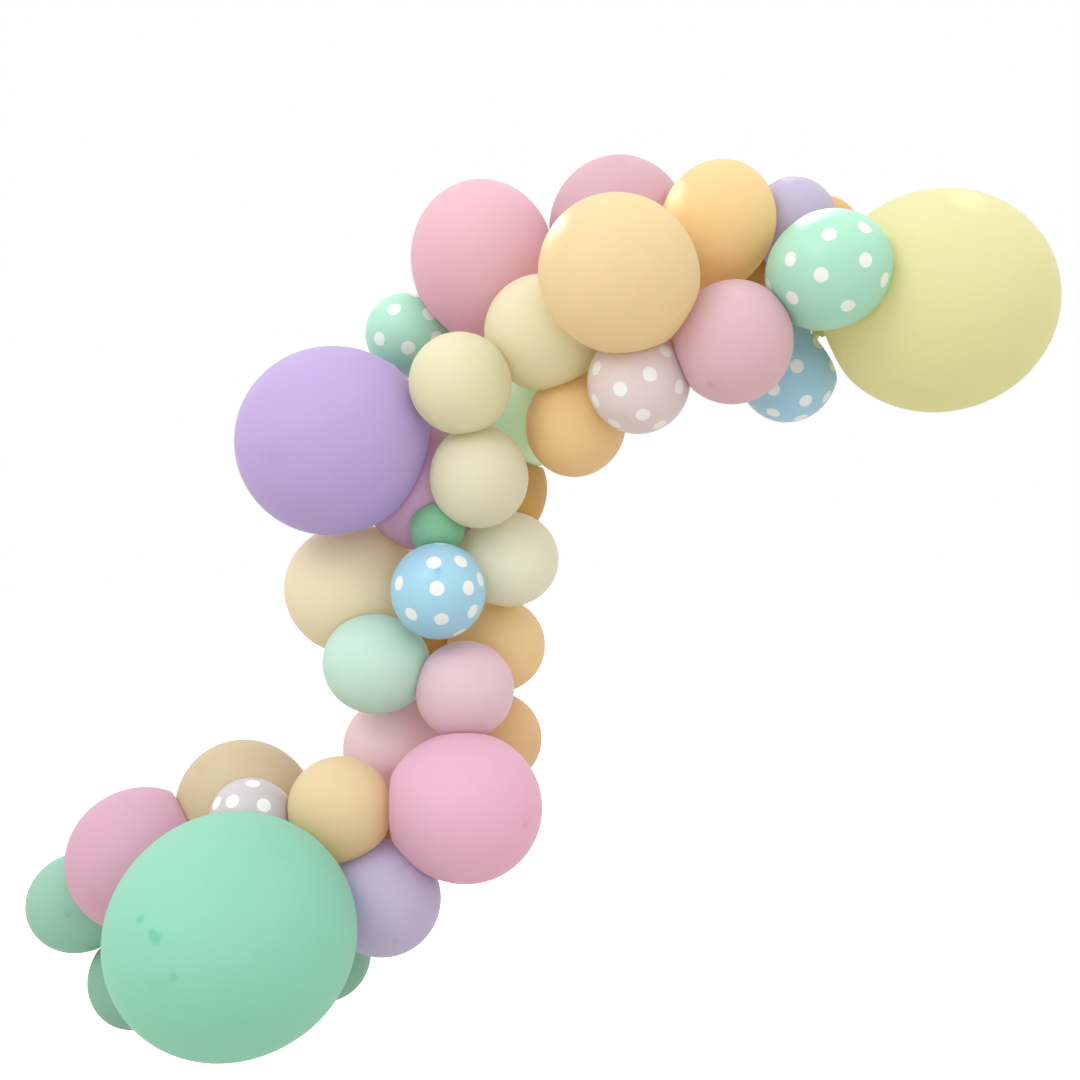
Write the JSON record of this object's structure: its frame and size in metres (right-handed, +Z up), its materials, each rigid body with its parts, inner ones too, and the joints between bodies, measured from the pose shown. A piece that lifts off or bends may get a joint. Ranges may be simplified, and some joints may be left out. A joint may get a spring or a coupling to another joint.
{
  "type": "balloon garland",
  "caption": "Organic garland of round latex balloons in mixed sizes and pastel colours, some with white dots, clustered along a clear tape that hangs on a wall.",
  "frame": {"origin": "on the back of the clear tape, at its top hook, where the tape turns from the descending stretch into the level stretch", "axes": "+Y into the wall that the garland hangs on, -Y towards the viewer, +X to the viewer's right along the level stretch, +Z up"},
  "size_m": [2.614, 0.9512, 2.2388],
  "materials": {
    "pink": "matte pastel pink latex, softly translucent",
    "orange": "matte apricot orange latex, softly translucent",
    "gold": "matte ochre yellow latex, seen only in the gaps",
    "lemon": "matte pale yellow latex, softly translucent",
    "mint": "matte mint latex, softly translucent",
    "sage": "matte muted green latex",
    "peach": "matte beige peach latex",
    "lilac": "matte lilac latex, softly translucent",
    "green": "matte green latex",
    "blue_dots": "satin sky blue latex printed with white dots",
    "mint_dots": "satin mint green latex printed with white dots",
    "white_dots": "satin clear to white latex printed with white dots, tinted by what is behind it",
    "tape": "clear flexible plastic"
  },
  "bodies": {
    "root": {"peach_low": "peach", "sage_far_left": "sage", "sage_low_left": "sage", "sage_low_right": "sage", "pink_mid_low": "pink", "peach_low_right": "peach", "peach_left": "peach", "orange_mid": "orange", "mint_dots_up": "mint_dots", "pink_up_left": "pink", "pink_top": "pink", "lemon_giant": "lemon", "blue_dots_right": "blue_dots", "sage_up": "sage", "orange_behind": "orange", "gold_up_right": "gold", "gold_up": "gold", "gold_mid": "gold", "lilac_behind": "lilac", "gold_behind": "gold", "gold_low": "gold", "pink_low_left": "pink", "white_dots_low": "white_dots", "lilac_low": "lilac", "orange_low": "orange", "pink_big_low": "pink", "mint_mid": "mint", "pink_small": "pink", "lemon_mid": "lemon", "lilac_giant": "lilac", "green_mini": "green", "blue_dots_mid": "blue_dots", "orange_up": "orange", "lemon_up": "lemon", "lemon_centre": "lemon", "lemon_left": "lemon", "white_dots_up": "white_dots", "orange_big": "orange", "lilac_up": "lilac", "orange_top": "orange", "pink_up_right": "pink", "mint_dots_right": "mint_dots", "mint_giant": "mint", "garland_tape": "tape"}
  },
  "joints": []
}
